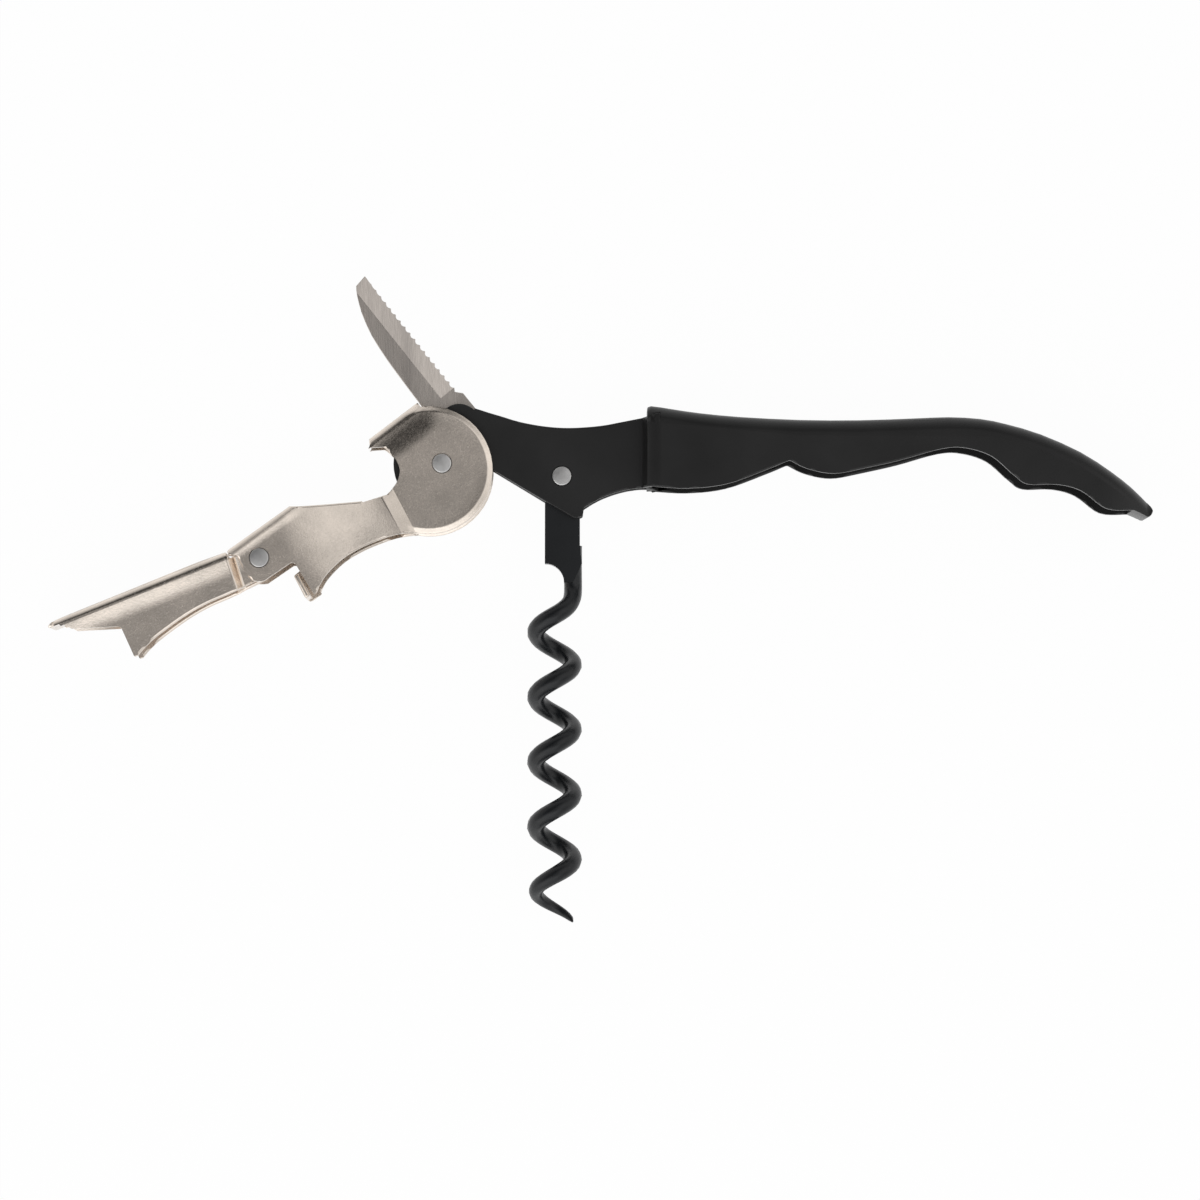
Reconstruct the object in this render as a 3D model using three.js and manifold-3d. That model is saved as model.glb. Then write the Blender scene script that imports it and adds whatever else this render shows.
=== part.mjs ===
// Waiter's friend corkscrew with a two-stage lever, opened out and lying on its side.
// Millimetres. It is laid out round the lever's pivot: X along the handle, Y towards the handle's back,
// Z across the tool. At the end the whole tool is moved so that its origin is the middle of its footprint.
import * as THREE from "three";
import { mergeVertices } from "three/addons/utils/BufferGeometryUtils.js";
import Module from "manifold-3d";

const wasm = await Module();
wasm.setup();

// Sheet, gaps and facets
const handleSheet = 1.1;
const leverSheet = 0.9;
const slideGap = 0.2; // between plates that slide past each other
const pinGap = 0.05; // round a rivet
const seatGap = 0.3; // between pieces that rest on each other
const cutOverrun = 1; // how far a cutter runs past what it cuts
const roundFacets = 48;
const pinFacets = 24;
const bendFacets = 4;
const curveSteps = 5; // per stretch between two outline points
const gripSteps = 2; // the same along the grip's back

// Handle: neck, knuckle at the lever's pivot, and grip
const neckLength = 32;
const neckHeight = 9.2;
const knuckleRadius = 7.6;
const gripLength = 79;
const gripDepth = 13;
const shoulderRadius = 2.6;
const noseLength = 9;
const noseNarrowing = 2.4;
const neckStepStart = 0.8; // before the neck's end
const neckStepRun = 2;

// Rivets
const rivetRadius = 1.15;
const rivetHeadRadius = 1.55;
const rivetHeadHeight = 0.35;
const rivetDome = 0.12;
const domeShare = 0.75; // of the dome's height, halfway out

// Worm
const wireDiameter = 2.8;
const wormDiameter = 8.6;
const wormPitch = 10.12;
const wormLength = 69.5; // pivot to point
const wormShankLength = 16.78; // pivot to where the wire starts to turn
const wormRunIn = 5;
const wormPointLength = 8;
const wormPointRadius = 0.15;
const wormPivotX = 18.7;
const wormPivotY = -1.9;
const wormAxisOffset = -1.16; // the helix's axis, to the side of the pivot
const wormHeadLeft = 2.65;
const wormHeadRight = 2.8;
const wormHeadLength = 13.6;
const wireSides = 12;
const stepsPerTurn = 22;

// Foil knife
const bladeSheet = 1.2;
const bladePivotX = 2.65;
const bladePivotY = 6.1;
const bladeLength = 27.7; // pivot to point
const bladeEdge = 3.08; // pivot's level to the serrated edge
const bladeBack = 2.7; // pivot's level to the back
const bladeGrind = 0.4; // pivot's level to where the hollow grind starts
const bladeEdgeSheet = 0.22;
const bladeHeel = 5.2; // pivot to where the edge starts
const tangRadius = 3.3;
const tangCorner = 3.65;
const tangNick = 0.6; // before the edge starts
const teeth = 18;
const stepsPerTooth = 4;
const toothDepth = 0.34;
const toothFade = 6; // power by which the teeth die out towards the point
const bossRadius = 3.3; // of the handle's plates round the knife's rivet
const washerRadius = 2.5;

// Back spring
const springSheet = 0.7;
const springLength = 40;
const springRise = 3.75;
const springFront = 5.7;
const springFrontY = 1.75;

// Two-stage lever
const armLength = 32; // pivot to knee
const armDepth = 10;
const discRadius = 10;
const discOffset = 2.3;
const armStepStart = 8.6;
const armStepRun = 2;
const bendRadius = 1.3;
const jawLength = 34; // knee to the jaw's lip
const jawDepth = 10;
const kneeStepStart = 3.7;
const kneeStepRun = 1;
const tongueRadius = 2.3;

// How far each piece is opened
const leverAngle = 207.6;
const kneeAngle = -9.6;
const bladeAngle = 128.6;
const wormAngle = -90;

// Half widths across the tool, from the wire outwards
const neckInner = wireDiameter / 2 + slideGap;
const neckOuter = neckInner + handleSheet;
const discInner = neckOuter + slideGap;
const discOuter = discInner + leverSheet;
const armInner = wormDiameter / 2 + slideGap;
const armOuter = armInner + leverSheet;
const tongueOuter = armInner - slideGap;
const tongueInner = tongueOuter - leverSheet;
const gripInner = armOuter + slideGap;
const gripOuter = gripInner + handleSheet;

// Outlines, as shares of a length along the piece and a depth across it
const neckTopShares = [
  [0.16, 0.94], [0.283, 0.814], [0.381, 0.712], [0.503, 0.636], [0.625, 0.611],
  [0.769, 0.645], [0.891, 0.721], [1, 0.793], [1.06, 0.83],
];
const neckBottomShares = [
  [1.06, -0.41], [1, -0.405], [0.919, -0.43], [0.838, -0.5], [0.759, -0.61], [0.69, -0.755],
];
const neckCornerShares = [[0.684, -0.88], [0.646, -0.935], [0.234, -0.075], [0, 0]];
const gripTopShares = [
  [0, 0.655], [0.008, 0.685], [0.051, 0.646], [0.104, 0.6], [0.184, 0.554], [0.301, 0.519],
  [0.418, 0.515], [0.532, 0.538], [0.595, 0.552], [0.657, 0.531], [0.709, 0.468], [0.776, 0.346],
  [0.854, 0.134], [0.914, -0.1], [0.956, -0.298], [0.986, -0.472],
];
const gripTipShares = [[0.986, -0.472], [0.996, -0.57], [0.988, -0.65], [0.975, -0.62], [0.958, -0.573]];
const gripBottomShares = [
  [0.958, -0.573], [0.903, -0.555], [0.854, -0.345], [0.808, -0.268], [0.75, -0.266],
  [0.723, -0.165], [0.678, 0.07], [0.627, 0.17], [0.58, 0.162], [0.499, 0.025],
  [0.425, -0.076], [0.367, -0.136], [0.316, -0.08], [0.28, 0.024],
];
const gripLobeShares = [
  [0.28, 0.024], [0.238, -0.083], [0.157, -0.26], [0.078, -0.314], [0, -0.286],
];
const armLowerShares = [
  [0.22, 0.86], [0.3, 0.735], [0.37, 0.657], [0.481, 0.608], [0.569, 0.598], [0.659, 0.625],
  [0.766, 0.742], [0.83, 0.895],
];
const armToothShares = [[0.844, 0.9], [0.858, 0.33], [0.875, 0.295], [1.03, 0.355]];
const armEndShares = [[1.03, 0.355], [1.075, 0.28], [1.091, 0.1], [1.091, -0.2]];
const armTabShares = [[1.125, -0.245], [1.125, -0.338], [0.756, -0.503], [0.72, -0.43]];
const armUpperShares = [[0.72, -0.435], [0.534, -0.18], [0.38, 0.015], [0.31, 0.05]];
const armRestShares = [[0.893, 0.49], [0.893, 0.89]];
const armRestFootShares = [[0.893, 0.89], [0.88, 0.925], [0.82, 0.89], [0.82, 0.38], [0.893, 0.43]];
const kneeBridgeShares = [[1.125, -0.338], [0.756, -0.503]];
const openerBridgeShares = [[-0.1, -1.03], [0.83, -0.87]];
const openerShares = [[-0.1, -1.03], [0.83, -0.87], [0.87, -0.77], [0.64, -0.5], [0.06, 0]];
const notchShares = [
  [0.69, -0.65], [0.627, -0.48], [0.608, -0.33], [0.64, -0.19], [0.765, -0.06], [0.99, 0.045],
];
const notchMouthShares = [[1.376, -0.02], [1.44, -0.7], [0.88, -0.735]];
const jawBackShares = [[0.14, -0.255], [0.3, -0.235], [0.53, -0.175], [0.8, -0.11], [0.96, -0.07]];
const jawLipShares = [[0.99, -0.045], [1.013, -0.015], [1.016, 0.035], [0.965, 0.02], [0.94, 0.06], [0.915, 0.15]];
const jawMouthShares = [[0.712, 0.335], [0.697, 0.375], [0.681, 0.855], [0.674, 0.88], [0.664, 0.868]];
const jawLowerShares = [
  [0.664, 0.868], [0.597, 0.735], [0.5, 0.61], [0.391, 0.497], [0.291, 0.43], [0.168, 0.388], [0, 0.3],
];
const jawTongueShares = [[0, -0.23], [0.1, -0.15], [0.14, -0.13]];
const bladeBackShares = [
  [0.985, -0.38], [0.955, -0.17], [0.912, 0.06], [0.83, 0.4], [0.71, 0.71], [0.56, 0.88],
  [0.41, 0.95], [0.24, 1], [0.1, 1],
];
const springShares = [
  [0, 0], [0.16, 0], [0.33, 0.01], [0.5, 0.09], [0.62, 0.27], [0.74, 0.62], [0.84, 0.93], [0.91, 1], [1, 0.98],
];
const headFlatShare = 0.8; // of the worm head's length, where its inner side starts to turn in

const materials = {
  black: { color: 0x1b1b1d, roughness: 0.55, metalness: 0.3 },
  nickel: { color: 0xb9b0a6, roughness: 0.32, metalness: 1 },
  steel: { color: 0x9b9894, roughness: 0.28, metalness: 1 },
  rivet: { color: 0xb4b7ba, roughness: 0.35, metalness: 1 },
};

// A geometry as a solid, and a solid as a geometry
function toSolid(geometry) {
  const bare = geometry.index ? geometry.toNonIndexed() : geometry.clone();
  bare.deleteAttribute("normal");
  bare.deleteAttribute("uv");
  const merged = mergeVertices(bare);
  const vertProperties = new Float32Array(merged.attributes.position.array);
  const triVerts = new Uint32Array(merged.index.array);
  return new wasm.Manifold(new wasm.Mesh({ numProp: 3, vertProperties, triVerts }));
}

function toGeometry(solid) {
  const mesh = solid.getMesh();
  const places = new Float32Array(mesh.numVert * 3);
  for (let i = 0; i < mesh.numVert; i++) {
    const start = i * mesh.numProp;
    places.set(mesh.vertProperties.subarray(start, start + 3), i * 3);
  }
  const geometry = new THREE.BufferGeometry();
  geometry.setAttribute("position", new THREE.BufferAttribute(places, 3));
  geometry.setIndex(new THREE.BufferAttribute(mesh.triVerts, 1));
  geometry.computeVertexNormals();
  return geometry;
}

const join = (solids) => solids.reduce((whole, piece) => whole.add(piece));

const cut = (solid, cutters) => cutters.reduce((rest, cutter) => rest.subtract(cutter), solid);

// Points from shares, straight or along a smooth curve through them
function placed(shares, length, depth, x = 0, y = 0) {
  return shares.map(([along, across]) => new THREE.Vector2(x + along * length, y + across * depth));
}

function smooth(points, steps = curveSteps) {
  return new THREE.SplineCurve(points).getPoints((points.length - 1) * steps);
}

function circle(x, y, radius, facets = roundFacets) {
  const points = [];
  for (let i = 0; i < facets; i++) {
    const turn = (i / facets) * 2 * Math.PI;
    points.push(new THREE.Vector2(x + radius * Math.cos(turn), y + radius * Math.sin(turn)));
  }
  return points;
}

// A flat outline given a thickness from one level to another
function plate(outline, low, high) {
  const shape = new THREE.Shape(outline);
  const geometry = new THREE.ExtrudeGeometry(shape, { depth: high - low, bevelEnabled: false });
  return toSolid(geometry.translate(0, 0, low));
}

const slab = (outline, halfWidth) => plate(outline, -halfWidth, halfWidth);

// An outline in X and Z, run along Y from low to high
function crosswise(outline, low, high) {
  const shape = new THREE.Shape(outline);
  const geometry = new THREE.ExtrudeGeometry(shape, { depth: high - low, bevelEnabled: false });
  return toSolid(geometry.rotateX(Math.PI / 2).translate(0, high, 0));
}

// Two sheets, one each side of the middle, that step from one half width out to another
function steppedSheets(sheet, narrow, wide, step, run, ends, reach) {
  const slope = Math.atan2(wide - narrow, run);
  const shift = sheet * Math.tan(slope / 2);
  const sheets = [1, -1].map((side) => {
    const outline = [
      [ends[0], narrow - sheet], [step + shift, narrow - sheet], [step + run + shift, wide - sheet],
      [ends[1], wide - sheet], [ends[1], wide], [step + run, wide], [step, narrow], [ends[0], narrow],
    ].map(([x, z]) => new THREE.Vector2(x, side * z));
    return crosswise(outline, -reach, reach);
  });
  return join(sheets);
}

// What a rounded bend leaves off the two outer edges of a bridge between cheeks
function bendCutters([from, to], halfWidth, radius) {
  const run = new THREE.Vector2().subVectors(to, from);
  const outline = [new THREE.Vector2(-cutOverrun, cutOverrun), new THREE.Vector2(-cutOverrun, -radius)];
  for (let i = 0; i <= bendFacets; i++) {
    const turn = ((i / bendFacets) * Math.PI) / 2;
    const point = new THREE.Vector2(1 - Math.cos(turn), Math.sin(turn) - 1);
    outline.push(point.multiplyScalar(radius));
  }
  outline.push(new THREE.Vector2(radius, cutOverrun));
  return [1, -1].map((side) => {
    const shape = new THREE.Shape(outline.map(({ x, y }) => new THREE.Vector2(x, side * y)));
    const options = { depth: run.length() + 2 * cutOverrun, bevelEnabled: false };
    const geometry = new THREE.ExtrudeGeometry(shape, options).translate(0, 0, -cutOverrun);
    const inward = new THREE.Vector3(-run.y, run.x, 0).normalize();
    const along = new THREE.Vector3(run.x, run.y, 0).normalize();
    const up = new THREE.Vector3().crossVectors(along, inward);
    geometry.applyMatrix4(new THREE.Matrix4().makeBasis(inward, up, along));
    return toSolid(geometry.translate(from.x, from.y, side * halfWidth));
  });
}

// A strip of a sheet's thickness that follows a line on its inward side
function strip([from, to], sheet) {
  const run = new THREE.Vector2().subVectors(to, from);
  const inward = new THREE.Vector2(-run.y, run.x).setLength(sheet);
  return [from, to, to.clone().add(inward), from.clone().add(inward)];
}

// Rivets, their holes and the seats of their heads
function rivet(halfLength) {
  const seat = halfLength - rivetHeadHeight;
  const profile = [
    [0, -halfLength - rivetDome], [rivetHeadRadius / 2, -halfLength - rivetDome * domeShare],
    [rivetHeadRadius, -halfLength], [rivetHeadRadius, -seat], [rivetRadius, -seat],
    [rivetRadius, seat], [rivetHeadRadius, seat], [rivetHeadRadius, halfLength],
    [rivetHeadRadius / 2, halfLength + rivetDome * domeShare], [0, halfLength + rivetDome],
  ].map(([radius, level]) => new THREE.Vector2(radius, level));
  return toSolid(new THREE.LatheGeometry(profile, pinFacets).rotateX(Math.PI / 2));
}

function bore(x, y, radius, halfLength) {
  return slab(circle(x, y, radius, pinFacets), halfLength + cutOverrun);
}

function rivetSeats(x, y, face) {
  const outline = circle(x, y, rivetHeadRadius + pinGap, pinFacets);
  const floor = face - rivetHeadHeight - pinGap;
  return [plate(outline, floor, face + cutOverrun), plate(outline, -face - cutOverrun, -floor)];
}

const rivetBore = (x, y, face) => [bore(x, y, rivetRadius + pinGap, face), ...rivetSeats(x, y, face)];

// A solid skinned over rings of equal count
function skinned(rings) {
  const count = rings[0].length;
  const places = rings.flat().flatMap(({ x, y, z }) => [x, y, z]);
  const faces = [];
  for (let i = 0; i + 1 < rings.length; i++) {
    for (let j = 0; j < count; j++) {
      const a = i * count + j;
      const b = i * count + ((j + 1) % count);
      faces.push(a, b, b + count, a, b + count, a + count);
    }
  }
  const last = (rings.length - 1) * count;
  for (let j = 1; j + 1 < count; j++) {
    faces.push(0, j + 1, j, last, last + j, last + j + 1);
  }
  const geometry = new THREE.BufferGeometry();
  geometry.setAttribute("position", new THREE.BufferAttribute(new Float32Array(places), 3));
  geometry.setIndex(faces);
  return toSolid(geometry);
}

// The grip's outside or inside: a round-shouldered arch at each station, open far below the grip
function gripArch(stations, inset) {
  const radius = shoulderRadius - inset;
  const low = -2 * gripDepth;
  return skinned(stations.map(({ x, top, slope, halfWidth }) => {
    const half = halfWidth - inset;
    const crown = top - inset * Math.hypot(1, slope);
    const ring = [new THREE.Vector3(x, low, -half)];
    for (const side of [-1, 1]) {
      for (let i = 0; i <= 2 * bendFacets; i++) {
        const share = side < 0 ? i / (2 * bendFacets) : 1 - i / (2 * bendFacets);
        const turn = (share * Math.PI) / 2;
        const z = side * (half - radius + radius * Math.cos(turn));
        ring.push(new THREE.Vector3(x, crown - radius + radius * Math.sin(turn), z));
      }
    }
    ring.push(new THREE.Vector3(x, low, half));
    return ring;
  }));
}

// Stations along the grip's back; towards the nose the grip narrows
function gripStations() {
  const back = smooth(placed(gripTopShares, gripLength, gripDepth, neckLength), gripSteps);
  const end = neckLength + gripLength;
  return back.map((point, i) => {
    const next = back[Math.min(i + 1, back.length - 1)];
    const before = back[Math.max(i - 1, 0)];
    const slope = (next.y - before.y) / (next.x - before.x);
    const nose = Math.max(0, 1 - (end - point.x) / noseLength);
    const halfWidth = gripOuter - noseNarrowing * (1 - Math.sqrt(1 - nose ** 2));
    return { x: point.x, top: point.y, slope, halfWidth };
  });
}

function gripShell() {
  const stations = gripStations();
  const first = stations[0];
  const last = stations[stations.length - 1];
  const nose = { ...last, x: last.x + handleSheet, top: last.top };
  const outside = gripArch([{ ...first }, ...stations.slice(1), nose], 0);
  const open = { ...first, x: first.x - cutOverrun };
  const hollowEnd = last.x - 2 * handleSheet;
  const hollow = gripArch([open, ...stations.filter(({ x }) => x < hollowEnd)], handleSheet);
  const size = [gripLength, gripDepth, neckLength];
  const outline = [
    ...smooth(placed(gripTopShares, ...size)).slice(0, -1),
    ...smooth(placed(gripTipShares, ...size)).slice(0, -1),
    ...smooth(placed(gripBottomShares, ...size)).slice(0, -1),
    ...smooth(placed(gripLobeShares, ...size)),
  ];
  return slab(outline, gripOuter + cutOverrun).intersect(outside).subtract(hollow);
}

function neckPlates() {
  const size = [neckLength, neckHeight];
  const outline = [
    ...smooth(placed(neckTopShares, ...size)),
    ...smooth(placed(neckBottomShares, ...size)),
    ...placed(neckCornerShares, ...size),
  ];
  const reach = gripDepth;
  const profile = join([
    slab(outline, reach),
    slab(circle(0, 0, knuckleRadius), reach),
    slab(circle(bladePivotX, bladePivotY, bossRadius), reach),
  ]);
  const step = neckLength - neckStepStart;
  const ends = [-2 * knuckleRadius, step + neckStepRun + handleSheet];
  const sheets = steppedSheets(handleSheet, neckOuter, gripOuter, step, neckStepRun, ends, 2 * gripDepth);
  return profile.intersect(sheets);
}

function handle() {
  const holes = [
    bore(0, 0, rivetRadius + pinGap, neckOuter),
    ...rivetBore(bladePivotX, bladePivotY, neckOuter - rivetDome),
    ...rivetBore(wormPivotX, wormPivotY, neckOuter),
  ];
  return cut(join([neckPlates(), gripShell()]), holes);
}

// A bowed strip that bears on the grip's back, the worm's head and the knife's tang
function backSpring() {
  const middle = smooth(placed(springShares, springLength, springRise, springFront, springFrontY));
  const side = (sign) => middle.map((point, i) => {
    const next = middle[Math.min(i + 1, middle.length - 1)];
    const before = middle[Math.max(i - 1, 0)];
    const run = new THREE.Vector2().subVectors(next, before).setLength(springSheet / 2);
    return new THREE.Vector2(point.x - sign * run.y, point.y + sign * run.x);
  });
  return slab([...side(1), ...side(-1).reverse()], neckInner - slideGap);
}

function washer(low, high) {
  const ring = plate(circle(0, 0, washerRadius, pinFacets), low, high);
  return cut(ring, [bore(0, 0, rivetRadius + pinGap, neckInner)]);
}

// The knife lies along X from its pivot, with its edge towards -Y
function blade() {
  const edge = [];
  const edgeEnd = bladeLength * bladeBackShares[0][0];
  const steps = teeth * stepsPerTooth;
  for (let i = 0; i <= steps; i++) {
    const share = i / steps;
    const gullet = Math.abs(Math.sin(share * teeth * Math.PI));
    const x = bladeHeel + share * (edgeEnd - bladeHeel);
    edge.push(new THREE.Vector2(x, -bladeEdge + toothDepth * gullet * (1 - share ** toothFade)));
  }
  const back = smooth(placed(bladeBackShares, bladeLength, bladeBack));
  const point = new THREE.Vector2(bladeLength, -bladeEdge);
  const heelX = bladeHeel - (tangCorner - bladeEdge);
  const tang = [
    [0, bladeBack], [0, -tangCorner], [tangCorner, -tangCorner],
    [heelX - tangNick, -tangCorner + toothDepth], [heelX, -bladeEdge + toothDepth],
  ].map(([x, y]) => new THREE.Vector2(x, y));
  const outline = [...tang, ...edge, point, ...back];
  const body = join([
    slab(outline, bladeSheet / 2),
    slab(circle(0, 0, tangRadius), bladeSheet / 2),
  ]);
  const half = bladeSheet / 2;
  const grinds = [1, -1].map((side) => {
    const wedge = [
      [-bladeGrind, half], [-bladeEdge, bladeEdgeSheet / 2],
      [-bladeEdge - cutOverrun, bladeEdgeSheet / 2], [-bladeEdge - cutOverrun, half + cutOverrun],
      [-bladeGrind, half + cutOverrun],
    ].map(([y, z]) => new THREE.Vector2(side * z, y));
    const shape = new THREE.Shape(wedge);
    const options = { depth: bladeLength, bevelEnabled: false };
    const geometry = new THREE.ExtrudeGeometry(shape, options).rotateY(Math.PI / 2);
    return toSolid(geometry.translate(bladeHeel, 0, 0));
  });
  return cut(body, [...grinds, bore(0, 0, rivetRadius + pinGap, bladeSheet)]);
}

// The worm lies along X from its pivot
function wormWire() {
  const turnRate = (2 * Math.PI) / wormPitch;
  const stepLength = wormPitch / stepsPerTurn;
  const mean = (wormDiameter - wireDiameter) / 2;
  const start = wormHeadLength - wireDiameter;
  const centre = (x) => {
    const past = x - wormShankLength;
    const turning = past < wormRunIn ? past ** 2 / (2 * wormRunIn) : past - wormRunIn / 2;
    const angle = past > 0 ? turnRate * turning : 0;
    return new THREE.Vector3(x, wormAxisOffset + mean * Math.cos(angle), mean * Math.sin(angle));
  };
  const count = Math.ceil((wormLength - start) / stepLength);
  const rings = [];
  let side = new THREE.Vector3(0, 1, 0);
  for (let i = 0; i <= count; i++) {
    const x = start + ((wormLength - start) * i) / count;
    const run = new THREE.Vector3().subVectors(centre(x + stepLength), centre(x - stepLength)).normalize();
    side = side.clone().addScaledVector(run, -side.dot(run)).normalize();
    const other = new THREE.Vector3().crossVectors(run, side);
    const left = Math.min(1, Math.max(0, wormLength - x) / wormPointLength);
    const radius = wormPointRadius + (wireDiameter / 2 - wormPointRadius) * Math.sqrt(left);
    const ring = [];
    for (let j = 0; j < wireSides; j++) {
      const turn = (j / wireSides) * 2 * Math.PI;
      const point = centre(x).addScaledVector(side, radius * Math.cos(turn));
      ring.push(point.addScaledVector(other, radius * Math.sin(turn)));
    }
    rings.push(ring);
  }
  return skinned(rings);
}

function wormHead() {
  const mean = (wormDiameter - wireDiameter) / 2;
  const wireInside = wormAxisOffset + mean - wireDiameter / 2;
  const turnIn = wormHeadLength * headFlatShare;
  const notchRadius = wireInside + wormHeadLeft;
  const notch = [];
  for (let i = 0; i <= 2 * bendFacets; i++) {
    const turn = ((i / (2 * bendFacets)) * Math.PI) / 2;
    const x = wormHeadLength + notchRadius * (1 - Math.cos(turn));
    notch.push(new THREE.Vector2(x, -wormHeadLeft + notchRadius * Math.sin(turn)));
  }
  const round = [];
  for (let i = 0; i <= roundFacets / 2; i++) {
    const turn = Math.PI / 2 + (i / (roundFacets / 2)) * Math.PI;
    const radius = turn < Math.PI ? wormHeadRight : wormHeadLeft;
    round.push(new THREE.Vector2(wormHeadRight * Math.cos(turn), radius * Math.sin(turn)));
  }
  const outline = [
    ...round, ...notch,
    new THREE.Vector2(wormHeadLength + notchRadius, wireInside + wireDiameter / 2),
    new THREE.Vector2(wormHeadLength, wireInside + wireDiameter),
    new THREE.Vector2(turnIn, wormHeadRight),
  ];
  return slab(outline, wireDiameter / 2);
}

function worm() {
  return cut(join([wormHead(), wormWire()]), [bore(0, 0, rivetRadius + pinGap, wireDiameter)]);
}

// The lever's first stage, along X from its pivot to the knee, with its teeth towards +Y
function leverArm() {
  const size = [armLength, armDepth];
  const outline = [
    ...smooth(placed(armLowerShares, ...size)), ...placed(armToothShares, ...size).slice(0, -1),
    ...smooth(placed(armEndShares, ...size)), ...placed(armTabShares, ...size).slice(0, -1),
    ...smooth(placed(armUpperShares, ...size)), new THREE.Vector2(discOffset, 0),
  ];
  const reach = armOuter + cutOverrun;
  const profile = join([
    slab(outline, reach),
    slab(circle(discOffset, 0, discRadius), reach),
    slab(placed(openerShares, discRadius, discRadius), reach),
  ]);
  const mouth = placed(notchMouthShares, discRadius, discRadius);
  const notch = [...smooth(placed(notchShares, discRadius, discRadius)), ...mouth];
  const shape = profile.subtract(slab(notch, reach + cutOverrun));
  const ends = [-2 * discRadius, 2 * armLength];
  const depth = 2 * discRadius;
  const sheets = steppedSheets(leverSheet, discOuter, armOuter, armStepStart, armStepRun, ends, depth);
  const opener = placed(openerBridgeShares, discRadius, discRadius);
  const knee = placed(kneeBridgeShares, ...size).reverse();
  const rest = placed(armRestShares, ...size);
  const whole = join([
    shape.intersect(sheets),
    slab(strip(opener, leverSheet), discOuter),
    slab(strip(knee, leverSheet), armOuter),
    plate(placed(armRestFootShares, ...size), -armOuter, -armInner),
    plate(strip(rest, leverSheet), -armOuter, armInner),
  ]);
  const cutters = [
    ...bendCutters(opener, discOuter, bendRadius),
    ...bendCutters(knee, armOuter, bendRadius),
    bendCutters(rest, armOuter, bendRadius)[1],
    ...rivetBore(0, 0, discOuter),
    ...rivetBore(armLength, 0, armOuter),
  ];
  return cut(whole, cutters);
}

// The lever's second stage, along X from the knee, with its tooth towards +Y
function leverJaw() {
  const size = [jawLength, jawDepth];
  const back = placed(jawBackShares, ...size);
  const outline = [
    ...smooth(back), ...placed(jawLipShares, ...size), ...placed(jawMouthShares, ...size).slice(0, -1),
    ...smooth(placed(jawLowerShares, ...size)), ...placed(jawTongueShares, ...size),
  ];
  const reach = armOuter + cutOverrun;
  const profile = join([slab(outline, reach), slab(circle(0, 0, tongueRadius), reach)]);
  const ends = [-2 * tongueRadius, 2 * jawLength];
  const sheets = steppedSheets(leverSheet, tongueOuter, armOuter, kneeStepStart, kneeStepRun, ends, 2 * jawDepth);
  const lines = smooth(back);
  const inside = lines.map(({ x, y }) => new THREE.Vector2(x, y + leverSheet));
  const lip = placed(jawLipShares, ...size);
  const bridge = slab([...lines, ...lip.slice(0, 3), ...inside.reverse()], armOuter);
  const whole = join([profile.intersect(sheets), bridge]);
  const cutters = bendCutters([back[0], back[back.length - 1]], armOuter, bendRadius);
  return cut(whole, [...cutters, ...rivetBore(0, 0, tongueOuter)]);
}

function named(name, solid, material) {
  const mesh = new THREE.Mesh(toGeometry(solid), new THREE.MeshStandardMaterial(materials[material]));
  mesh.name = name;
  return mesh;
}

function opened(x, y, degrees, meshes) {
  const group = new THREE.Group();
  group.position.set(x, y, 0);
  group.rotation.z = THREE.MathUtils.degToRad(degrees);
  group.add(...meshes);
  return group;
}

const inBladeFrame = (mesh) => {
  mesh.position.set(bladePivotX, bladePivotY, 0);
  return mesh;
};

const inWormFrame = (mesh) => {
  mesh.position.set(wormPivotX, wormPivotY, 0);
  return mesh;
};

const corkscrew = new THREE.Group();
const washerInside = bladeSheet / 2 + pinGap;
const washerOutside = neckInner - pinGap;
corkscrew.add(
  named("handle", handle(), "black"),
  named("back_spring", backSpring(), "steel"),
  named("lever_rivet", rivet(discOuter), "rivet"),
  inBladeFrame(named("knife_rivet", rivet(neckOuter - rivetDome), "rivet")),
  inBladeFrame(named("knife_washer_front", washer(washerInside, washerOutside), "steel")),
  inBladeFrame(named("knife_washer_back", washer(-washerOutside, -washerInside), "steel")),
  inWormFrame(named("worm_rivet", rivet(neckOuter), "rivet")),
  opened(bladePivotX, bladePivotY, bladeAngle, [named("knife", blade(), "steel")]),
  opened(wormPivotX, wormPivotY, wormAngle, [named("worm", worm(), "black")]),
);
const kneeRivet = named("knee_rivet", rivet(armOuter), "rivet");
kneeRivet.position.x = armLength;
const jaw = opened(armLength, 0, kneeAngle, [named("lever_jaw", leverJaw(), "nickel")]);
corkscrew.add(opened(0, 0, leverAngle, [named("lever_arm", leverArm(), "nickel"), kneeRivet, jaw]));

// The origin is the middle of the footprint, on the surface that the handle's side lies on
const box = new THREE.Box3().setFromObject(corkscrew, true);
const middle = box.getCenter(new THREE.Vector3());
corkscrew.position.set(-middle.x, -middle.y, -box.min.z);

export default corkscrew;
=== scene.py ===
import math

import bmesh
import bpy
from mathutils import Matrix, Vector


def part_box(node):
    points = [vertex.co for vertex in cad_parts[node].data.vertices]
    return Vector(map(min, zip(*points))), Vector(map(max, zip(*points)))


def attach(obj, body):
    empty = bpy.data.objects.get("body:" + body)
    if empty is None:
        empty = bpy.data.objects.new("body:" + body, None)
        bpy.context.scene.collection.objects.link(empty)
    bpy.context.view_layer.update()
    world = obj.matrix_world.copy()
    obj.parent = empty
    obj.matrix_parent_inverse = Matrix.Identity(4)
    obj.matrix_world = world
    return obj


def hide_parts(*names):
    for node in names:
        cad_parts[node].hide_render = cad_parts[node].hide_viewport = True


# Looks, camera and light for a waiter's friend corkscrew, opened out on its side, in metres and degrees

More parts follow.
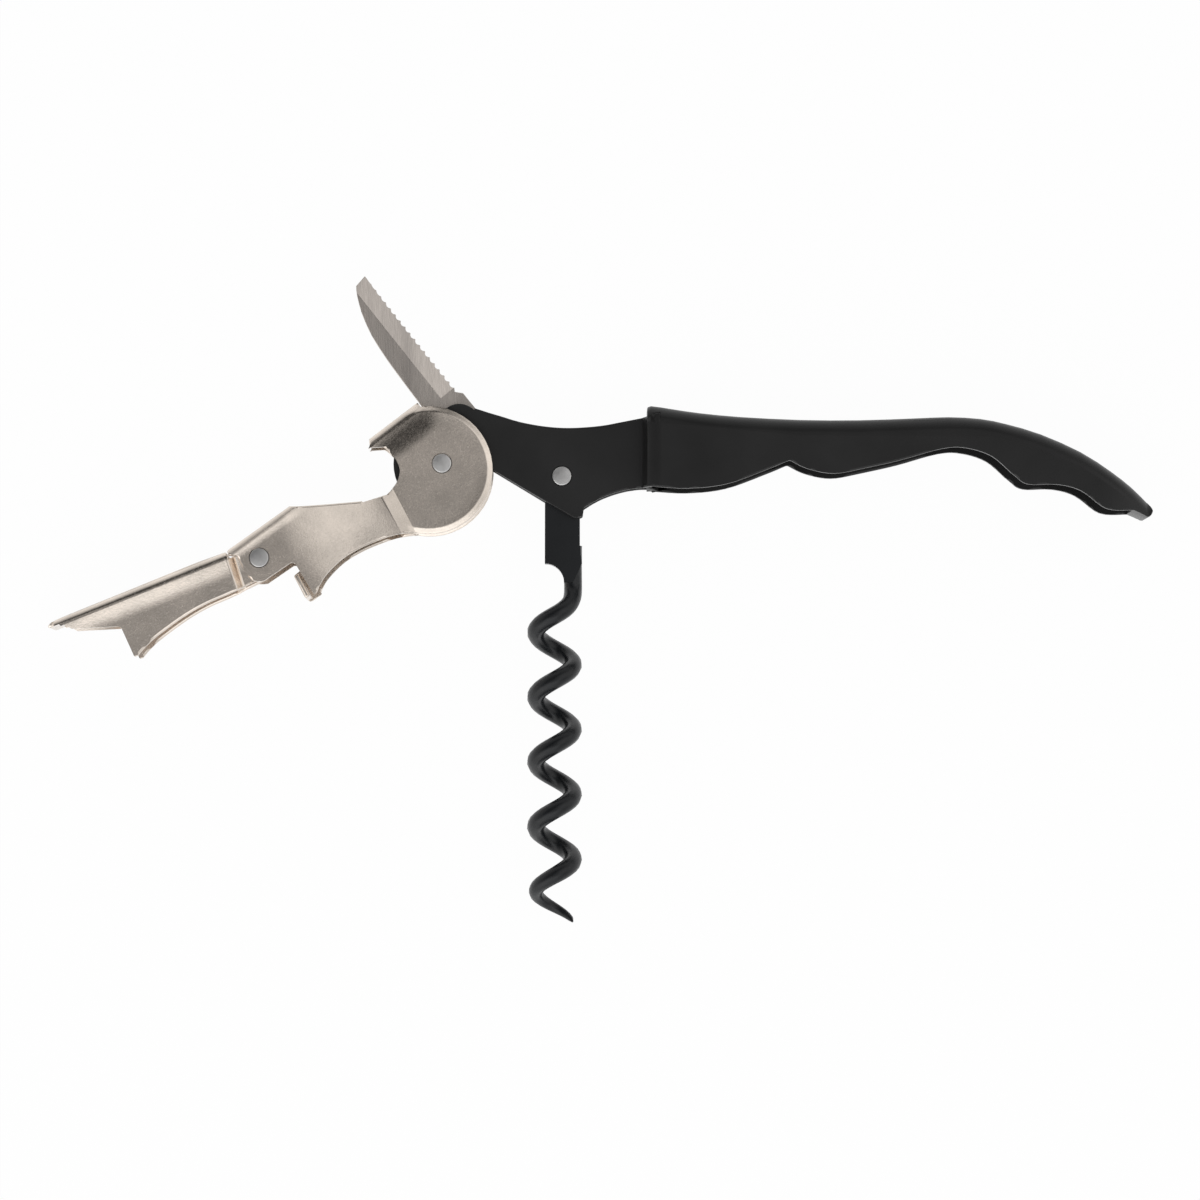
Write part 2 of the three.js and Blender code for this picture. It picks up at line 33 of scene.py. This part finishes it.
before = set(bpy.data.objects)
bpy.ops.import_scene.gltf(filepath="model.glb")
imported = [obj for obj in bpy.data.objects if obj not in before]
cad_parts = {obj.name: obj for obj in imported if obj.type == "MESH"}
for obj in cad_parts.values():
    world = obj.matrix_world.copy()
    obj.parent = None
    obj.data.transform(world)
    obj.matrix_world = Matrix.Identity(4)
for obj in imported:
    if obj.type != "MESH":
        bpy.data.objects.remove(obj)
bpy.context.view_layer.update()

# The photograph: 1200 pixels square, taken almost square on to the tool's side
VIEW_CENTRE = (-0.00011, -0.00024)
VIEW_DISTANCE = 0.850
VIEW_ANGLE = 12.60
VIEW_TILT = 2.5 # from square on, seen from a little below
VIEW_NEAREST = 0.01
MID_HEIGHT = 0.0067 # of the tool, from which the distance is measured

# Edge rounding of the pressed sheet and of the smaller pieces
SHEET_ROUND = 0.00028
LEVER_ROUND = 0.00032
RIVET_ROUND = 0.00022
FINE_ROUND = 0.00010
ROUND_STEPS = 3
BLADE_ROUND_STEPS = 2
SHARP_ANGLE = 32 # an edge that turns further than this is rounded
BLADE_SHARP_ANGLE = 50

# CAD corners nearer than this are one corner, and faces that turn less than this are one face
MERGE_DISTANCE = 0.00002
FLAT_ANGLE = 0.6

# The lever's folds: a line's ends in X and Y, the reach of the soft form to its left, and the rise over it
OPENER_FOLD = ((-0.02865, 0.03052), (-0.03615, 0.02479), 0.0056, 0.00075)
ARM_FOLD = ((-0.04853, 0.01418), (-0.05823, 0.00725), 0.0024, -0.00038)
JAW_FOLD = ((-0.05843, 0.00706), (-0.08434, -0.00331), 0.0042, -0.00055)
FOLD_FADE = 0.004 # a fold fades out within this distance past its line's ends

# The step from the neck's plates to the grip, given in the same way
NECK_STEP = ((0.0075, 0.0350), (0.0075, 0.0100), 0.0020, 0.00025)

# The lever's round end: its middle, between what distances from it the rim rolls over, and how deep
DISC_MIDDLE = (-0.02682, 0.01991, 0)
DISC_ROLL = (0.0090, 0.0102, 0.00045)
DISC_ROLL_FROM = (-0.0310, -0.0280) # the roll sets in between these, in X

# The arm's dish: between what distances from the round end's middle the sheet rises, and how high
ARM_DISH = (0.007, 0.0255, 0.0029)

# Noise textures: cells per metre, octaves of finer detail, and how strong these are
PAINT_PEEL = (2600, 4, 0.5)
PAINT_SHEEN = (90, 3, 0.5)
PLATE_GRAIN = (2300, 5, 0.75)
PLATE_WAVES = (55, 2, 0.5)
PLATE_TINT = (160, 4, 0.6)
GRIND_LINES = (5200, 3, 0.5)
GRIND_TINT = (260, 2, 0.5)

# How high the textures stand at full strength
PEEL_HEIGHT = 0.00003
GRAIN_HEIGHT = 0.00004
WAVE_HEIGHT = 0.0012
LINE_HEIGHT = 0.00003

# The grinding lines run along Y, the way the noise is stretched, and the turn only picks a part of it
LINE_STRETCH = 0.06
LINE_TURN = -128.6
LINE_STRENGTH = 0.3

# The part of a noise's range that a colour or gloss runs over, and that the paint's sheen runs over
NOISE_SPAN = (0.3, 0.7)
SHEEN_SPAN = (0.25, 0.75)

# How far the roughness wanders down and up
PAINT_GLOSS = (-0.05, 0.06)
PLATE_GLOSS = (-0.06, 0.10)
GRIND_GLOSS = (-0.05, 0.08)

# Colours: the paints with the darkest and lightest share of them, and the metals from dark to light
HANDLE_BLACK = (0.0105, 0.0103, 0.0104)
WORM_BLACK = (0.008, 0.009, 0.0105)
PAINT_SHADES = (0.8, 1.25)
PAINT_SPECULAR = 0.35
NICKEL = ((0.64, 0.575, 0.51), (0.82, 0.73, 0.645))
KNIFE_STEEL = ((0.50, 0.455, 0.42), (0.66, 0.60, 0.55))
RIVET_STEEL = ((0.46, 0.455, 0.45), (0.66, 0.65, 0.64))
SPRING_STEEL = ((0.30, 0.31, 0.32), (0.42, 0.42, 0.43))

# The studio's light by height, from 0 at the horizon to 1 overhead
SKY_LEVELS = ((0.0, 0.8), (0.35, 0.7), (0.6, 0.42), (0.8, 0.9),
              (0.92, 1.0), (0.97, 0.66), (0.992, 0.34), (1.0, 0.27))

# The studio's bright side
BRIGHT_SIDE = (0.72, -0.69, 0.0)
SIDE_LEVELS = ((0.33, 0.04), (0.46, 1.0)) # the light's level, from 0 opposite the bright side to 1 on it
SIDE_HEIGHTS = (0.45, 0.8) # the difference between the sides sets in between these heights

# The Mix node's sockets for colours
MIX_FIRST = 6
MIX_SECOND = 7
MIX_RESULT = 2

# The lamps, all turned to the origin: place, size, watts and colour
LAMPS = {
    "key": ((-0.10, -0.42, 0.42), (0.90, 0.60), 1.1, (0.95, 0.975, 1.0)),
    "fill": ((0.50, 0.10, 0.35), (0.50, 0.50), 0.3, (1.0, 0.98, 0.95)),
    "side": ((-0.34, -0.42, 0.18), (0.50, 0.50), 0.4, (1.0, 0.97, 0.93)),
}

# The floor
FLOOR_HALF_SIDE = 1.6
FLOOR_SQUARES = 24
FLOOR_DROP = 0.0002 # below the tool
FLOOR_COLOUR = (0.95, 0.95, 0.95, 1)
FLOOR_ROUGHNESS = 0.9
FLOOR_WHITE = 0.97 # the share that the camera sees as plain white, and the rest as the lit floor


def new_material(name):
    material = bpy.data.materials.new(name)
    material.use_nodes = True
    nodes = material.node_tree.nodes
    return material, nodes, material.node_tree.links, nodes["Principled BSDF"]


def add(nodes, kind, **settings):
    """A new node, with its inputs or its own settings given by name."""
    node = nodes.new(kind)
    for key, value in settings.items():
        if key in node.inputs:
            node.inputs[key].default_value = value
        else:
            setattr(node, key, value)
    return node


def noise(nodes, links, place, texture):
    cells, octaves, strength = texture
    node = add(nodes, "ShaderNodeTexNoise", Scale=cells, Detail=octaves, Roughness=strength)
    links.new(place, node.inputs["Vector"])
    return node.outputs["Fac"]


def ramp(nodes, links, value, stops):
    node = nodes.new("ShaderNodeValToRGB")
    elements = node.color_ramp.elements
    while len(elements) < len(stops):
        elements.new(0.5) # its place is set below
    for element, (position, colour) in zip(elements, stops):
        element.position = position
        element.color = (*colour, 1)
    links.new(value, node.inputs["Fac"])
    return node.outputs["Color"]


def grey_ramp(nodes, links, value, stops):
    return ramp(nodes, links, value, [(position, (level,) * 3) for position, level in stops])


def uneven_colour(nodes, links, value, shader, tints):
    """The surface's colour, wandering between two tints with a noise."""
    links.new(ramp(nodes, links, value, list(zip(NOISE_SPAN, tints))), shader.inputs["Base Color"])


def uneven_gloss(nodes, links, value, shader, roughness, changes, span=NOISE_SPAN):
    """The surface's roughness, wandering down and up with a noise."""
    levels = [roughness + change for change in changes]
    links.new(grey_ramp(nodes, links, value, list(zip(span, levels))), shader.inputs["Roughness"])


def bump(nodes, links, height, strength, distance, normal=None, share=None):
    """A relief over the normal so far. Where a share is given, it takes the strength's place."""
    node = add(nodes, "ShaderNodeBump", Strength=strength, Distance=distance)
    links.new(height, node.inputs["Height"])
    if share is not None:
        links.new(share, node.inputs["Strength"])
    if normal is not None:
        links.new(normal, node.inputs["Normal"])
    return node.outputs["Normal"]


def place_of(nodes):
    return nodes.new("ShaderNodeTexCoord").outputs["Object"]


def in_plane(nodes, links, place):
    """The place along the sheet, without its height, so that both cheeks are formed alike."""
    node = add(nodes, "ShaderNodeVectorMath", operation="MULTIPLY")
    links.new(place, node.inputs[0])
    node.inputs[1].default_value = (1, 1, 0)
    return node.outputs["Vector"]


def eased(nodes, links, value, start, end):
    """A smooth rise from 0 to 1 as the value goes from start to end."""
    node = add(nodes, "ShaderNodeMapRange", interpolation_type="SMOOTHSTEP")
    node.inputs["From Min"].default_value = start
    node.inputs["From Max"].default_value = end
    links.new(value, node.inputs["Value"])
    return node.outputs["Result"]


def reach_from(nodes, links, place, centre, start, end):
    """A rise from 0 to 1 between two distances from a point, or a fall where the first is the greater."""
    apart = add(nodes, "ShaderNodeVectorMath", operation="DISTANCE")
    links.new(place, apart.inputs[0])
    apart.inputs[1].default_value = centre
    return eased(nodes, links, apart.outputs["Value"], start, end)


def fold(nodes, links, place, start, end, reach, rise, normal):
    """The sheet's rise, or fall if negative, from a fold's line to the flat on the line's left."""
    start = Vector((*start, 0))
    end = Vector((*end, 0))
    run = (end - start).normalized()
    half = (end - start).length / 2
    level = in_plane(nodes, links, place)
    apart = add(nodes, "ShaderNodeVectorMath", operation="SUBTRACT")
    links.new(level, apart.inputs[0])
    apart.inputs[1].default_value = start
    across = add(nodes, "ShaderNodeVectorMath", operation="DOT_PRODUCT")
    links.new(apart.outputs["Vector"], across.inputs[0])
    across.inputs[1].default_value = (-run.y, run.x, 0)
    beside = reach_from(nodes, links, level, (start + end) / 2, half + FOLD_FADE, half)
    height = eased(nodes, links, across.outputs["Value"], 0.0, reach)
    return bump(nodes, links, height, 1.0, rise, normal, beside)


def disc_form(nodes, links, place, normal):
    """The roll at the rim of the lever's round end, away from the arm, and the dish of the arm."""
    level = in_plane(nodes, links, place)
    axes = nodes.new("ShaderNodeSeparateXYZ")
    links.new(level, axes.inputs["Vector"])
    away = eased(nodes, links, axes.outputs["X"], *DISC_ROLL_FROM)
    start, end, depth = DISC_ROLL
    outside = reach_from(nodes, links, level, DISC_MIDDLE, start, end)
    rolled = bump(nodes, links, outside, 1.0, -depth, normal, away)
    start, end, height = ARM_DISH
    dished = reach_from(nodes, links, level, DISC_MIDDLE, start, end)
    return bump(nodes, links, dished, 1.0, height, rolled)


def black_paint(name, colour, roughness, peel, folds=()):
    """Black coating with a faint orange peel, a slightly uneven sheen, and soft forms beside its folds."""
    material, nodes, links, shader = new_material(name)
    place = place_of(nodes)
    fine = noise(nodes, links, place, PAINT_PEEL)
    broad = noise(nodes, links, place, PAINT_SHEEN)
    tints = [tuple(share * part for part in colour) for share in PAINT_SHADES]
    uneven_colour(nodes, links, broad, shader, tints)
    uneven_gloss(nodes, links, broad, shader, roughness, PAINT_GLOSS, SHEEN_SPAN)
    drawn = None
    for line in folds:
        drawn = fold(nodes, links, place, *line, drawn)
    links.new(bump(nodes, links, fine, peel, PEEL_HEIGHT, drawn), shader.inputs["Normal"])
    shader.inputs["Specular IOR Level"].default_value = PAINT_SPECULAR
    return material


def plated_steel(name, tints, roughness, grain, waves, folds=(), disc=False):
    """Plated pressed steel: tumbled grain, soft waves from the press, and soft forms beside its folds."""
    material, nodes, links, shader = new_material(name)
    place = place_of(nodes)
    speckle = noise(nodes, links, place, PLATE_GRAIN)
    uneven_colour(nodes, links, noise(nodes, links, place, PLATE_TINT), shader, tints)
    uneven_gloss(nodes, links, speckle, shader, roughness, PLATE_GLOSS)
    broad = bump(nodes, links, noise(nodes, links, place, PLATE_WAVES), waves, WAVE_HEIGHT)
    if disc:
        broad = disc_form(nodes, links, place, broad)
    for line in folds:
        broad = fold(nodes, links, place, *line, broad)
    links.new(bump(nodes, links, speckle, grain, GRAIN_HEIGHT, broad), shader.inputs["Normal"])
    shader.inputs["Metallic"].default_value = 1.0
    return material


def ground_steel(name, tints, roughness):
    """Ground steel with fine parallel grinding lines."""
    material, nodes, links, shader = new_material(name)
    mapping = add(nodes, "ShaderNodeMapping")
    mapping.inputs["Rotation"].default_value = (0, 0, math.radians(LINE_TURN))
    mapping.inputs["Scale"].default_value = (1, LINE_STRETCH, 1)
    links.new(place_of(nodes), mapping.inputs["Vector"])
    stretched = mapping.outputs["Vector"]
    lines = noise(nodes, links, stretched, GRIND_LINES)
    uneven_colour(nodes, links, noise(nodes, links, stretched, GRIND_TINT), shader, tints)
    uneven_gloss(nodes, links, lines, shader, roughness, GRIND_GLOSS)
    links.new(bump(nodes, links, lines, LINE_STRENGTH, LINE_HEIGHT), shader.inputs["Normal"])
    shader.inputs["Metallic"].default_value = 1.0
    return material


def handle_paint():
    return black_paint("handle_black", HANDLE_BLACK, roughness=0.38, peel=0.25, folds=(NECK_STEP,))


def worm_coating():
    return black_paint("worm_black", WORM_BLACK, roughness=0.32, peel=0.12)


def lever_nickel(name, folds, disc=False):
    return plated_steel(name, NICKEL, roughness=0.20, grain=0.6, waves=0.35, folds=folds, disc=disc)


def knife_metal():
    return ground_steel("knife_steel", KNIFE_STEEL, roughness=0.28)


def rivet_metal():
    return plated_steel("rivet_steel", RIVET_STEEL, roughness=0.34, grain=0.30, waves=0.05)


def spring_metal():
    return plated_steel("spring_steel", SPRING_STEEL, roughness=0.35, grain=0.15, waves=0.05)


def clean_mesh(node, material, angle):
    """A copy of the CAD mesh with its flat faces whole, its curves smooth and its edges sharp."""
    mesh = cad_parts[node].data.copy()
    mesh.materials.clear()
    mesh.materials.append(material)
    form = bmesh.new()
    form.from_mesh(mesh)
    bmesh.ops.remove_doubles(form, verts=form.verts, dist=MERGE_DISTANCE)
    flat = {"use_dissolve_boundaries": False, "angle_limit": math.radians(FLAT_ANGLE)}
    bmesh.ops.dissolve_limit(form, verts=form.verts, edges=form.edges, **flat)
    form.to_mesh(mesh)
    form.free()
    mesh.shade_smooth()
    mesh.set_sharp_from_angle(angle=math.radians(angle))
    return mesh


def rounded_mesh(piece, width, steps, angle):
    """The piece's mesh with its sharp edges rounded over."""
    modifier = piece.modifiers.new("edges", "BEVEL")
    modifier.width = width
    modifier.segments = steps
    modifier.offset_type = "ABSOLUTE"
    modifier.angle_limit = math.radians(angle)
    modifier.use_clamp_overlap = False
    modifier.loop_slide = False
    piece.modifiers.new("shading", "WEIGHTED_NORMAL").keep_sharp = True
    depsgraph = bpy.context.evaluated_depsgraph_get()
    rounded = bpy.data.meshes.new_from_object(piece.evaluated_get(depsgraph))
    piece.modifiers.clear()
    return rounded


def keep_in_box(mesh, node):
    """Moves each corner that stands out of the CAD piece's box back to the box's side."""
    low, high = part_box(node)
    for corner in mesh.vertices:
        corner.co = [min(max(value, least), most) for value, least, most in zip(corner.co, low, high)]


def softened(node, body, material, width, steps=ROUND_STEPS, angle=SHARP_ANGLE):
    """The CAD piece with its sharp edges rounded over, inside the same box."""
    piece = bpy.data.objects.new(node + "_finish", clean_mesh(node, material, angle))
    bpy.context.scene.collection.objects.link(piece)
    rounded = rounded_mesh(piece, width, steps, angle)
    keep_in_box(rounded, node)
    piece.data = rounded
    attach(piece, body)
    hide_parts(node)


def make_camera():
    data = bpy.data.cameras.new("camera")
    data.angle = math.radians(VIEW_ANGLE)
    data.clip_start = VIEW_NEAREST
    camera = bpy.data.objects.new("camera", data)
    tilt = math.radians(VIEW_TILT)
    aside = VIEW_DISTANCE * math.sin(tilt)
    above = VIEW_DISTANCE * math.cos(tilt)
    camera.location = (VIEW_CENTRE[0], VIEW_CENTRE[1] - aside, MID_HEIGHT + above)
    camera.rotation_euler.x = tilt
    bpy.context.scene.collection.objects.link(camera)
    bpy.context.scene.camera = camera


def area_light(name, place, size, power, colour):
    data = bpy.data.lights.new(name, "AREA")
    data.shape = "RECTANGLE"
    data.size, data.size_y = size
    data.energy = power
    data.color = colour
    lamp = bpy.data.objects.new(name, data)
    lamp.location = place
    lamp.rotation_euler = (-Vector(place)).to_track_quat("-Z", "Y").to_euler()
    bpy.context.scene.collection.objects.link(lamp)


def side_share(nodes, links, direction):
    """How far a direction is on the studio's bright side, from 0 opposite it to 1 on it."""
    across = add(nodes, "ShaderNodeVectorMath", operation="DOT_PRODUCT")
    links.new(direction, across.inputs[0])
    across.inputs[1].default_value = BRIGHT_SIDE
    share = add(nodes, "ShaderNodeMath", operation="MULTIPLY_ADD")
    links.new(across.outputs["Value"], share.inputs[0])
    # From -1 to 1 into 0 to 1
    share.inputs[1].default_value = 0.5
    share.inputs[2].default_value = 0.5
    return share.outputs[0]


def make_world():
    """A studio whose light changes with the height, and is dimmed overhead on one side."""
    world = bpy.data.worlds.new("studio")
    world.use_nodes = True
    nodes, links = world.node_tree.nodes, world.node_tree.links
    background = nodes["Background"]
    direction = nodes.new("ShaderNodeTexCoord").outputs["Generated"]
    axes = nodes.new("ShaderNodeSeparateXYZ")
    links.new(direction, axes.inputs["Vector"])
    height = axes.outputs["Z"]
    side = side_share(nodes, links, direction)
    shade = add(nodes, "ShaderNodeMix", data_type="RGBA", blend_type="MULTIPLY")
    links.new(eased(nodes, links, height, *SIDE_HEIGHTS), shade.inputs["Factor"])
    links.new(grey_ramp(nodes, links, height, SKY_LEVELS), shade.inputs[MIX_FIRST])
    links.new(grey_ramp(nodes, links, side, SIDE_LEVELS), shade.inputs[MIX_SECOND])
    links.new(shade.outputs[MIX_RESULT], background.inputs["Color"])
    background.inputs["Strength"].default_value = 1.0
    bpy.context.scene.world = world


def floor_material():
    """White to the camera, but for a faint share of the lit floor, and plain white in mirrors and glass."""
    material, nodes, links, shader = new_material("floor_white")
    shader.inputs["Base Color"].default_value = FLOOR_COLOUR
    shader.inputs["Roughness"].default_value = FLOOR_ROUGHNESS
    shader.inputs["Specular IOR Level"].default_value = 0.0
    white = add(nodes, "ShaderNodeEmission", Color=(1, 1, 1, 1), Strength=1.0)
    rays = nodes.new("ShaderNodeLightPath")
    mirrored = add(nodes, "ShaderNodeMath", operation="ADD")
    links.new(rays.outputs["Is Glossy Ray"], mirrored.inputs[0])
    links.new(rays.outputs["Is Transmission Ray"], mirrored.inputs[1])
    seen = add(nodes, "ShaderNodeMath", operation="MULTIPLY_ADD")
    links.new(rays.outputs["Is Camera Ray"], seen.inputs[0])
    seen.inputs[1].default_value = FLOOR_WHITE
    links.new(mirrored.outputs[0], seen.inputs[2])
    mix = nodes.new("ShaderNodeMixShader")
    links.new(seen.outputs[0], mix.inputs["Fac"])
    links.new(shader.outputs[0], mix.inputs[1])
    links.new(white.outputs[0], mix.inputs[2])
    links.new(mix.outputs[0], nodes["Material Output"].inputs["Surface"])
    return material


def make_floor():
    form = bmesh.new()
    bmesh.ops.create_grid(form, x_segments=FLOOR_SQUARES, y_segments=FLOOR_SQUARES, size=FLOOR_HALF_SIDE)
    mesh = bpy.data.meshes.new("floor")
    form.to_mesh(mesh)
    form.free()
    mesh.materials.append(floor_material())
    floor = bpy.data.objects.new("floor", mesh)
    floor.location.z = -FLOOR_DROP
    bpy.context.scene.collection.objects.link(floor)


paint = handle_paint()
coating = worm_coating()
arm_nickel = lever_nickel("arm_nickel", (OPENER_FOLD, ARM_FOLD), disc=True)
jaw_nickel = lever_nickel("jaw_nickel", (JAW_FOLD,))
knife_steel = knife_metal()
rivet_steel = rivet_metal()
spring_steel = spring_metal()

softened("handle", "handle", paint, SHEET_ROUND)
softened("worm", "worm", coating, FINE_ROUND)
softened("lever_arm", "lever_arm", arm_nickel, LEVER_ROUND)
softened("lever_jaw", "lever_jaw", jaw_nickel, LEVER_ROUND)
softened("knife", "knife", knife_steel, FINE_ROUND, BLADE_ROUND_STEPS, BLADE_SHARP_ANGLE)
softened("lever_rivet", "handle", rivet_steel, RIVET_ROUND)
softened("worm_rivet", "handle", rivet_steel, RIVET_ROUND)
softened("knee_rivet", "lever_arm", rivet_steel, RIVET_ROUND)
softened("knife_rivet", "handle", rivet_steel, FINE_ROUND)
softened("back_spring", "handle", spring_steel, FINE_ROUND)
softened("knife_washer_front", "handle", spring_steel, FINE_ROUND)
softened("knife_washer_back", "handle", spring_steel, FINE_ROUND)

make_camera()
make_world()
make_floor()
for name, settings in LAMPS.items():
    area_light(name, *settings)
bpy.context.scene.view_settings.view_transform = "Standard"
